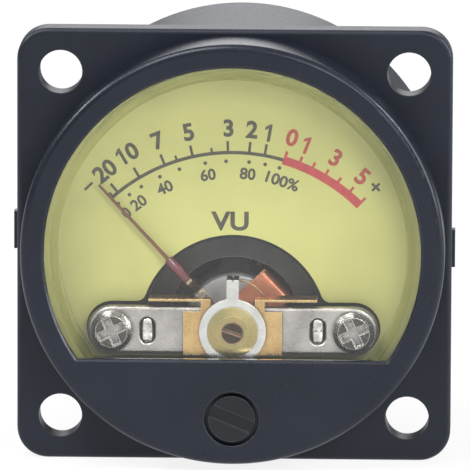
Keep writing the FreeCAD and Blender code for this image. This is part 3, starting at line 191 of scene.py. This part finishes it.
springMetal = dict(nickel, colour=(0.45, 0.28, 0.16), colourToo=(0.36, 0.22, 0.13), patch=0.0008,
                   stretch=(1, 1, 1), edge=(0.60, 0.42, 0.28), edgeWidth=0.00004,
                   round=0.00003, rough=(0.24, 0.38))
weightMetal = dict(nickel, colour=(0.20, 0.19, 0.18), colourToo=(0.13, 0.13, 0.13), patch=0.0008,
                   stretch=(1, 1, 1), edge=(0.45, 0.43, 0.40), rough=(0.30, 0.45))

# lacquers and plain parts
pointerLacquer = {
    "colour": (0.125, 0.045, 0.020), "colourToo": (0.19, 0.080, 0.038), "patch": 0.0015, "metal": 0.25,
    "grain": 0.00010, "rough": (0.25, 0.40), "bump": 0.15, "height": 0.000006, "coat": 0.3,
}
sleeveLacquer = dict(pointerLacquer, colour=(0.085, 0.010, 0.017), colourToo=(0.150, 0.022, 0.030), metal=0.0,
                     rough=(0.14, 0.26), bump=0.4, height=0.00002, coat=0.7, round=0.0001)
diffuserSheet = dict(pointerLacquer, colour=(0.78, 0.78, 0.72), colourToo=(0.70, 0.70, 0.64),
                     metal=0.0, coat=0.0, rough=(0.5, 0.6), patch=0.004)

dress(makeFinish("casePlastic", casePlastic), "case_body")
dress(makeFinish("coverPlastic", coverPlastic), "front_cover")
dress(makeFinish("screwPlastic", screwPlastic), "zero_screw")
dress(makeFinish("innerPlastic", innerPlastic), "movement_frame", "core_spacers")
dress(makeFinish("nickelStrip", nickel), "front_bridge", "rear_bridge")
dress(makeFinish("nickelScrew", nickelScrew), "bridge_screws", "rear_bridge_screws")
dress(makeFinish("brightPlate", brightPlate), "zero_regulator", "zero_screw_clip")
dress(makeFinish("stopBrass", brass), "stop_plate", "rear_spring_tag", "meter_terminals", "terminal_nuts",
      "rear_lock_nut", "lamp_terminals", "balance_cross")
dress(makeFinish("washerBrass", washerBrass), "spring_washer", "front_bush")
dress(makeFinish("bronzeScrew", bronze), "front_jewel_screw", "rear_jewel_screw")
dress(makeFinish("blackIron", blackIron), "yoke_ring")
dress(makeFinish("magnetAlloy", magnetAlloy), "magnet_core")
dress(makeFinish("spindleSteel", steel), "front_spindle", "rear_spindle", "terminal_washers")
dress(makeFinish("tinPlate", tin), "solder_tags", "lamp_leads")
dress(makeFinish("armMetal", armMetal), "pointer_arm")
dress(makeFinish("springMetal", springMetal), "front_hairspring", "rear_hairspring")
dress(makeFinish("weightMetal", weightMetal), "balance_weights")
dress(makeFinish("pointerLacquer", pointerLacquer), "pointer")
dress(makeFinish("sleeveLacquer", sleeveLacquer), "pointer_sleeve")
dress(makeFinish("diffuserSheet", diffuserSheet), "dial_diffuser")
print("metals, plastics and lacquers dressed")


# copper coil: enamelled strands that lie along the coil, a lighter former at its edges
coilLook = {
    "copper": (0.78, 0.30, 0.17), "shadow": (0.34, 0.095, 0.055), "strand": 0.00013,
    "tilt": 43.0, "rough": 0.34, "metal": 0.75, "coat": 0.35, "bump": 0.9, "height": 0.00003,
    "uneven": 0.0012, "former": (0.70, 0.36, 0.20),
}


def makeCopper(name, look):
    mat = bpy.data.materials.new(name)
    mat.use_nodes = True
    skin = mat.node_tree.nodes["Principled BSDF"]
    vector = coordinates(mat, tilt=look["tilt"])
    strands = addNode(mat, "ShaderNodeTexWave", wave_type="BANDS", bands_direction="Z")
    strands.inputs["Scale"].default_value = 2 * pi / (20 * look["strand"])
    strands.inputs["Distortion"].default_value = 1.6
    strands.inputs["Detail Scale"].default_value = 0.3
    wire(mat, vector, strands.inputs["Vector"])
    uneven = noiseOf(mat, vector, look["uneven"])
    deep = colourMix(mat, rangeOf(mat, uneven, 0.3, 0.7, 0.25, 1.0), look["shadow"], look["copper"])
    colour = colourMix(mat, strands.outputs["Fac"], deep, look["copper"])
    wire(mat, colour, skin.inputs["Base Color"])
    skin.inputs["Metallic"].default_value = look["metal"]
    skin.inputs["Roughness"].default_value = look["rough"]
    skin.inputs["Coat Weight"].default_value = look["coat"]
    bump = addNode(mat, "ShaderNodeBump")
    bump.inputs["Strength"].default_value = look["bump"]
    bump.inputs["Distance"].default_value = look["height"]
    wire(mat, strands.outputs["Fac"], bump.inputs["Height"])
    wire(mat, bump.outputs["Normal"], skin.inputs["Normal"])
    return mat


dress(makeCopper("copperWinding", coilLook), "coil_winding")
formerMetal = dict(nickel, colour=coilLook["former"], colourToo=(0.58, 0.27, 0.15), patch=0.001,
                   stretch=(1, 1, 1), edge=(0.95, 0.62, 0.40), edgeWidth=0.00006, rough=(0.2, 0.34))
dress(makeFinish("formerMetal", formerMetal), "coil_former")


# clear pieces: the window, the jewels and the lamp glass
clearLook = {"tint": (0.985, 0.99, 0.98), "bend": 1.42, "haze": 0.006, "shine": 0.04}
jewelLook = {"tint": (0.80, 0.22, 0.30), "bend": 1.76, "haze": 0.03, "shine": 0.5}
lampLook = {"tint": (0.96, 0.95, 0.90), "bend": 1.50, "haze": 0.02, "shine": 0.5}


def makeClear(name, look):
    mat = bpy.data.materials.new(name)
    mat.use_nodes = True
    skin = mat.node_tree.nodes["Principled BSDF"]
    out = mat.node_tree.nodes["Material Output"]
    skin.inputs["Base Color"].default_value = (*look["tint"], 1)
    skin.inputs["Transmission Weight"].default_value = 1.0
    skin.inputs["IOR"].default_value = look["bend"]
    skin.inputs["Specular IOR Level"].default_value = look["shine"]
    smudge = noiseOf(mat, coordinates(mat), 0.004)
    wire(mat, rangeOf(mat, smudge, 0.35, 0.7, 0.0, look["haze"]), skin.inputs["Roughness"])
    openSkin = addNode(mat, "ShaderNodeBsdfTransparent")
    openSkin.inputs["Color"].default_value = (*look["tint"], 1)
    path = addNode(mat, "ShaderNodeLightPath")
    either = addNode(mat, "ShaderNodeMath", operation="MAXIMUM")
    wire(mat, path.outputs["Is Shadow Ray"], either.inputs[0])
    wire(mat, path.outputs["Is Diffuse Ray"], either.inputs[1])
    mix = addNode(mat, "ShaderNodeMixShader")
    wire(mat, either.outputs["Value"], mix.inputs["Fac"])
    wire(mat, skin.outputs["BSDF"], mix.inputs[1])
    wire(mat, openSkin.outputs["BSDF"], mix.inputs[2])
    wire(mat, mix.outputs["Shader"], out.inputs["Surface"])
    return mat


dress(makeClear("clearWindow", clearLook), "crystal")
dress(makeClear("jewelRuby", jewelLook), "front_jewel", "rear_jewel")
dress(makeClear("lampGlass", lampLook), "backlight_lamp")


# dial: yellow-green translucent sheet, paler in the middle and darker towards its upper rim, a painted shade
# of the cover's edge
dialLook = {
    "middle": (0.585, 0.578, 0.200), "rim": (0.515, 0.512, 0.168), "middlePlace": (-2.0, -3.0),
    "shadeFrom": 7.0, "shadeTo": 22.0, "speck": 0.00012, "rough": 0.52,
}


def makeDial(name, look):
    mat = bpy.data.materials.new(name)
    mat.use_nodes = True
    skin = mat.node_tree.nodes["Principled BSDF"]
    place = addNode(mat, "ShaderNodeTexCoord")
    away = addNode(mat, "ShaderNodeVectorMath", operation="DISTANCE")
    x, z = look["middlePlace"]
    away.inputs[1].default_value = (x * mm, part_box("dial_plate")[0].y, z * mm)
    wire(mat, place.outputs["Object"], away.inputs[0])
    # painted shade: the sheet darkens away from a point below its middle, towards the rim under the cover
    rimShade = rangeOf(mat, away.outputs["Value"], look["shadeFrom"] * mm, look["shadeTo"] * mm, 0, 1)
    vector = coordinates(mat)
    cloud = rangeOf(mat, noiseOf(mat, vector, 0.007, 2.0), 0.3, 0.7, 0.94, 1.04)
    speck = rangeOf(mat, noiseOf(mat, vector, look["speck"], 2.0), 0.3, 0.7, 0.96, 1.03)
    both = addNode(mat, "ShaderNodeMath", operation="MULTIPLY")
    wire(mat, cloud, both.inputs[0])
    wire(mat, speck, both.inputs[1])
    tone = addNode(mat, "ShaderNodeVectorMath", operation="SCALE")
    wire(mat, colourMix(mat, rimShade, look["middle"], look["rim"]), tone.inputs[0])
    wire(mat, both.outputs["Value"], tone.inputs["Scale"])
    wire(mat, tone.outputs["Vector"], skin.inputs["Base Color"])
    skin.inputs["Roughness"].default_value = look["rough"]
    bump = addNode(mat, "ShaderNodeBump")
    bump.inputs["Strength"].default_value = 0.12
    bump.inputs["Distance"].default_value = 0.00001
    wire(mat, speck, bump.inputs["Height"])
    wire(mat, bump.outputs["Normal"], skin.inputs["Normal"])
    return mat


dress(makeDial("dialSheet", dialLook), "dial_plate")
print("coil, clear pieces and dial dressed")


# printing on the dial: degrees clockwise from straight up, millimetres from the scale's middle
printLook = {
    "centre": (-0.10, -8.66), "lift": 0.012, "ink": (0.052, 0.047, 0.028), "redInk": (0.36, 0.050, 0.034),
    "redBand": (0.42, 0.042, 0.046), "lineIn": 18.42, "lineOut": 18.78, "bandIn": 18.14, "bandOut": 19.03,
    "longTick": 19.80, "shortTick": 19.18, "redTick": 19.58, "tickWide": 0.27,
    "dotAt": 17.70, "dotSize": 0.20, "signHalf": 0.55, "signThick": 0.13,
}
upperScale = {
    "long": (-39.6, -31.2, -22.2, -12.9, -1.6, 5.15, 10.1), "short": (-41.7, -18.1, -6.7),
    "red": (16.6, 21.4, 25.7, 30.3, 34.8, 39.55, 44.4), "signsAt": 21.12, "tall": 1.84,
    "numerals": (("20", -38.6, 21.2), ("10", -30.6, 21.4), ("7", -21.4, 21.25), ("5", -12.6, 21.2),
                 ("3", -1.3, 21.15), ("2", 5.3, 21.1), ("1", 9.9, 21.0)),
    "redNumerals": (("0", 16.8, 21.1), ("1", 21.1, 20.85), ("3", 30.3, 21.0), ("5", 39.5, 21.0)),
    "signs": (("minus", -44.9), ("plus", 44.3)),
}
lowerScale = {
    "dots": (-41.9, -37.1, -32.3, -25.2, -18.2, -9.3, -2.3, 5.4, 10.8, 15.7), "numeralsAt": 16.46,
    "tall": 1.24,
    "numerals": (("0", -42.0), ("20", -36.2), ("40", -25.3), ("60", -9.0), ("80", 5.3), ("100%", 18.1)),
}
unitMark = {"words": "VU", "x": -0.40, "z": 2.78, "tall": 2.0, "wide": 3.9}
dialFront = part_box("dial_plate")[0].y


def spot(radius, angle, lift=1.0):
    x, z = printLook["centre"]
    turn = radians(angle)
    y = dialFront - printLook["lift"] * lift * mm
    return Vector(((x + radius * sin(turn)) * mm, y, (z + radius * cos(turn)) * mm))


def leaning(x, y, turn):
    turned = radians(turn)
    return Vector(((x * cos(turned) + y * sin(turned)) * mm, 0, (y * cos(turned) - x * sin(turned)) * mm))


def addArc(mesh, inner, outer, start, end, lift=1.0):
    steps = max(2, int(abs(end - start) / 0.6))
    angles = [start + (end - start) * i / steps for i in range(steps + 1)]
    low = [mesh.verts.new(spot(inner, a, lift)) for a in angles]
    high = [mesh.verts.new(spot(outer, a, lift)) for a in angles]
    for i in range(steps):
        mesh.faces.new((low[i], low[i + 1], high[i + 1], high[i]))


def addTick(mesh, inner, outer, angle, wide, lift=1.0):
    half = wide / 2
    a, b = (half / inner) * 180 / pi, (half / outer) * 180 / pi
    corners = (spot(inner, angle - a, lift), spot(inner, angle + a, lift),
               spot(outer, angle + b, lift), spot(outer, angle - b, lift))
    mesh.faces.new([mesh.verts.new(c) for c in corners])


def addDot(mesh, radius, angle, size):
    middle = spot(radius, angle)
    ring = [mesh.verts.new(middle + Vector((cos(t) * size * mm, 0, sin(t) * size * mm)))
            for t in [2 * pi * i / 18 for i in range(18)]]
    mesh.faces.new(ring)


def addWords(mesh, words, middle, tall, turn=0.0, wide=None, bold=0.034):
    letters = bpy.data.curves.new("letters", "FONT")
    letters.body = words
    letters.align_x = "CENTER"
    letters.align_y = "CENTER"
    letters.offset = bold
    letters.resolution_u = 6
    carrier = bpy.data.objects.new("letters", letters)
    bpy.context.scene.collection.objects.link(carrier)
    bpy.context.view_layer.update()
    flat = bpy.data.meshes.new_from_object(carrier.evaluated_get(bpy.context.evaluated_depsgraph_get()))
    xs = [v.co.x for v in flat.vertices]
    ys = [v.co.y for v in flat.vertices]
    scaleY = tall / (max(ys) - min(ys))
    scaleX = wide / (max(xs) - min(xs)) if wide else scaleY
    cx, cy = (max(xs) + min(xs)) / 2, (max(ys) + min(ys)) / 2
    for v in flat.vertices:
        v.co = middle + leaning((v.co.x - cx) * scaleX, (v.co.y - cy) * scaleY, turn)
    mesh.from_mesh(flat)
    bpy.data.objects.remove(carrier)
    bpy.data.curves.remove(letters)
    bpy.data.meshes.remove(flat)


def addOne(mesh, middle, tall, turn, aside=0.0):
    outline = ((0.0, -0.5), (0.18, -0.5), (0.18, 0.5), (0.06, 0.5), (-0.20, 0.30), (-0.20, 0.12), (0.0, 0.25))
    corners = [middle + leaning((x + aside) * tall, y * tall, turn) for x, y in outline]
    mesh.faces.new([mesh.verts.new(c) for c in corners])


def addNumeral(mesh, words, middle, tall, turn):
    if words == "1":
        addOne(mesh, middle, tall, turn)
    elif words == "10":
        addOne(mesh, middle, tall, turn, -0.42)
        addWords(mesh, "0", middle + leaning(0.28 * tall, 0, turn), tall, turn)
    else:
        addWords(mesh, words, middle, tall, turn)


def settle(mesh, name, mat, body="case"):
    data = bpy.data.meshes.new(name)
    bmesh.ops.recalc_face_normals(mesh, faces=mesh.faces)
    for face in mesh.faces:
        if name.startswith("dial") and face.normal.y > 0:
            face.normal_flip()
    mesh.to_mesh(data)
    mesh.free()
    piece = bpy.data.objects.new(name, data)
    bpy.context.scene.collection.objects.link(piece)
    data.materials.append(mat)
    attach(piece, body)
    return piece


def inkFinish(name, colour):
    paler = tuple(min(1.0, c * 1.25 + 0.01) for c in colour)
    look = {"colour": colour, "colourToo": paler, "patch": 0.0005, "grain": 0.00008, "rough": (0.42, 0.58),
            "bump": 0.2, "height": 0.000004}
    return makeFinish(name, look)


def printDial():
    p, up, low = printLook, upperScale, lowerScale
    dark = bmesh.new()
    addArc(dark, p["lineIn"], p["lineOut"], -42.2, 16.3)
    for angle in up["long"]:
        addTick(dark, p["lineOut"] - 0.05, p["longTick"], angle, p["tickWide"], 1.2)
    addTick(dark, p["lineOut"] - 0.05, p["longTick"], up["long"][0] - 0.02, p["tickWide"], 1.25)
    for angle in up["short"]:
        addTick(dark, p["lineOut"] - 0.05, p["shortTick"], angle, p["tickWide"] * 0.9, 1.2)
    for angle in low["dots"]:
        addDot(dark, p["dotAt"], angle, p["dotSize"])
    for words, angle, out in up["numerals"]:
        addNumeral(dark, words, spot(out, angle), up["tall"], angle)
    for words, angle in low["numerals"]:
        wide = 3.5 if words == "100%" else None
        addWords(dark, words, spot(low["numeralsAt"], angle), low["tall"], angle, wide, bold=0.030)
    for sign, angle in up["signs"]:
        at, reach, thick = up["signsAt"], p["signHalf"], p["signThick"]
        half = reach / at * 180 / pi
        addArc(dark, at - thick, at + thick, angle - half, angle + half)
        if sign == "plus":
            addTick(dark, at - reach, at + reach, angle, 2 * thick, 1.2)
    mark = Vector((unitMark["x"] * mm, dialFront - p["lift"] * mm, unitMark["z"] * mm))
    addWords(dark, unitMark["words"], mark, unitMark["tall"], 0.0, unitMark["wide"], bold=0.030)
    settle(dark, "dialPrint", inkFinish("darkInk", p["ink"]))
    red = bmesh.new()
    addArc(red, p["bandIn"], p["bandOut"], 16.1, 44.8)
    for angle in up["red"]:
        addTick(red, p["bandIn"], p["redTick"], angle, p["tickWide"], 1.2)
    settle(red, "dialBand", inkFinish("redBandInk", p["redBand"]))
    numerals = bmesh.new()
    for words, angle, out in up["redNumerals"]:
        addNumeral(numerals, words, spot(out, angle), up["tall"], angle)
    settle(numerals, "dialRedNumerals", inkFinish("redInk", p["redInk"]))


printDial()
print("dial printed")


# staked lugs: the ring's two lugs are spread with a punch in the slots of the bridge
stakeLook = {
    "spread": 8.8, "pivotAt": -8.35, "wide": 1.12, "tall": 2.50, "front": 6.90, "deep": 0.36, "dent": 0.20,
    "rough": 0.16, "seed": 3.1,
}


def addStakes():
    look = stakeLook
    # the stakes' dents get the finish's painted shade in recesses
    metal = makeFinish("stakedIron", dict(nickel, colour=(0.80, 0.77, 0.73), colourToo=(0.42, 0.40, 0.37),
                                          patch=0.0006, stretch=(1, 1, 1), rough=(0.18, 0.34), bump=0.6,
                                          shadeReach=0.0002))
    for side, word in ((-1, "left"), (1, "right")):
        mesh = bmesh.new()
        bmesh.ops.create_cube(mesh, size=1.0)
        bmesh.ops.subdivide_edges(mesh, edges=mesh.edges, cuts=7, use_grid_fill=True)
        for v in mesh.verts:
            x, y, z = v.co * 2
            pinch = 1 - 0.14 * z * z - 0.10 * abs(y * x)
            groove = look["dent"] * max(0.0, 1 - abs(z - 0.1 * side) * 2.4) if y < 0 else 0.0
            wobble = noise.noise(Vector((x * 1.6, z * 1.6, look["seed"] * side))) * look["rough"]
            across = side * look["spread"] + x * pinch * look["wide"] / 2 + wobble * 0.3
            forward = look["front"] - (y + 1) * look["deep"] / 2 - groove + wobble * (0.5 if y < 0 else 0)
            up = look["pivotAt"] + z * look["tall"] / 2 * (1 - 0.12 * x * x)
            v.co = Vector((across * mm, -forward * mm, up * mm))
        piece = settle(mesh, "lugStake_" + word, metal, "case")
        for face in piece.data.polygons:
            face.use_smooth = True


addStakes()
print("lugs staked")


# floor, light and camera
studio = {
    "floorAt": -22.5, "keySize": 0.35, "keyPower": 3.0, "fillPower": 2.3, "sidePower": 1.6, "edgePower": 2.6,
    "rimPower": 1.1, "worldLow": 0.07, "worldHigh": 0.55,
}
cameraLook = {
    "away": 900.0, "elevation": 9.0, "azimuth": 1.8, "roll": 0.2, "pixels": 470, "pixelsPerMm": 9.667,
    "aim": (0.083, -3.5, 1.073),
}


def addFloor():
    mesh = bmesh.new()
    bmesh.ops.create_grid(mesh, x_segments=24, y_segments=24, size=4.0)
    for v in mesh.verts:
        v.co.z = studio["floorAt"] * mm
    data = bpy.data.meshes.new("floor")
    mesh.to_mesh(data)
    mesh.free()
    floor = bpy.data.objects.new("floor", data)
    bpy.context.scene.collection.objects.link(floor)
    mat = bpy.data.materials.new("paleFloor")
    mat.use_nodes = True
    skin = mat.node_tree.nodes["Principled BSDF"]
    skin.inputs["Base Color"].default_value = (0.86, 0.86, 0.86, 1)
    skin.inputs["Roughness"].default_value = 0.9
    glow = addNode(mat, "ShaderNodeEmission")
    glow.inputs["Strength"].default_value = 1.0
    path = addNode(mat, "ShaderNodeLightPath")
    seen = addNode(mat, "ShaderNodeMath", operation="MAXIMUM")
    wire(mat, path.outputs["Is Camera Ray"], seen.inputs[0])
    wire(mat, path.outputs["Is Glossy Ray"], seen.inputs[1])
    seenToo = addNode(mat, "ShaderNodeMath", operation="MAXIMUM")
    wire(mat, seen.outputs["Value"], seenToo.inputs[0])
    wire(mat, path.outputs["Is Transmission Ray"], seenToo.inputs[1])
    share = addNode(mat, "ShaderNodeMath", operation="MULTIPLY")
    share.inputs[1].default_value = 0.86
    wire(mat, seenToo.outputs["Value"], share.inputs[0])
    mix = addNode(mat, "ShaderNodeMixShader")
    wire(mat, share.outputs["Value"], mix.inputs["Fac"])
    wire(mat, skin.outputs["BSDF"], mix.inputs[1])
    wire(mat, glow.outputs["Emission"], mix.inputs[2])
    wire(mat, mix.outputs["Shader"], mat.node_tree.nodes["Material Output"].inputs["Surface"])
    data.materials.append(mat)


def addWorld():
    world = bpy.data.worlds.new("studioWorld")
    bpy.context.scene.world = world
    world.use_nodes = True
    tree = world.node_tree
    ground = tree.nodes["Background"]
    place = tree.nodes.new("ShaderNodeTexCoord")
    parts = tree.nodes.new("ShaderNodeSeparateXYZ")
    lift = tree.nodes.new("ShaderNodeMapRange")
    lift.inputs["From Min"].default_value = -0.2
    lift.inputs["From Max"].default_value = 0.9
    lift.inputs["To Min"].default_value = studio["worldLow"]
    lift.inputs["To Max"].default_value = studio["worldHigh"]
    path = tree.nodes.new("ShaderNodeLightPath")
    seen = tree.nodes.new("ShaderNodeMath")
    seen.operation = "MAXIMUM"
    mix = tree.nodes.new("ShaderNodeMixRGB")
    mix.inputs["Color2"].default_value = (1, 1, 1, 1)
    tree.links.new(place.outputs["Generated"], parts.inputs["Vector"])
    tree.links.new(parts.outputs["Z"], lift.inputs["Value"])
    tree.links.new(lift.outputs["Result"], mix.inputs["Color1"])
    tree.links.new(path.outputs["Is Camera Ray"], seen.inputs[0])
    tree.links.new(path.outputs["Is Transmission Ray"], seen.inputs[1])
    tree.links.new(seen.outputs["Value"], mix.inputs["Fac"])
    tree.links.new(mix.outputs["Color"], ground.inputs["Color"])
    ground.inputs["Strength"].default_value = 1.0


def addLamp(name, place, size, power, aim=(0, 0, 0)):
    lamp = bpy.data.lights.new(name, "AREA")
    lamp.shape = "DISK"
    lamp.size = size
    lamp.energy = power
    carrier = bpy.data.objects.new(name, lamp)
    carrier.location = place
    carrier.rotation_euler = (Vector(aim) - Vector(place)).to_track_quat("-Z", "Y").to_euler()
    bpy.context.scene.collection.objects.link(carrier)


def addCamera():
    look = cameraLook
    up, side = radians(look["elevation"]), radians(look["azimuth"])
    aim = Vector(look["aim"]) * mm
    back = Vector((sin(side) * cos(up), -cos(side) * cos(up), sin(up)))
    lens = bpy.data.cameras.new("camera")
    lens.sensor_width = 36.0
    lens.lens = 36.0 * look["away"] / (look["pixels"] / look["pixelsPerMm"])
    lens.clip_start = 0.05
    lens.clip_end = 20
    carrier = bpy.data.objects.new("camera", lens)
    turn = (-back).to_track_quat("-Z", "Y").to_matrix().to_4x4()
    roll = Matrix.Rotation(radians(look["roll"]), 4, "Z")
    carrier.matrix_world = Matrix.Translation(aim + back * look["away"] * mm) @ turn @ roll
    bpy.context.scene.collection.objects.link(carrier)
    bpy.context.scene.camera = carrier


addFloor()
addWorld()
addLamp("keyLamp", (-0.22, -0.25, 0.62), studio["keySize"], studio["keyPower"])
addLamp("fillLamp", (0.30, -0.75, 0.42), 0.35, studio["fillPower"])
addLamp("sideLamp", (0.60, -0.12, 0.16), 0.25, studio["sidePower"])
addLamp("leftEdgeLamp", (-0.60, -0.08, 0.48), 0.16, studio["edgePower"])
addLamp("rightEdgeLamp", (0.62, -0.08, 0.46), 0.16, studio["edgePower"])
addLamp("rimLamp", (0.0, 0.70, 0.34), 0.5, studio["rimPower"])
addCamera()
bpy.context.scene.view_settings.view_transform = "Standard"
print("studio set")
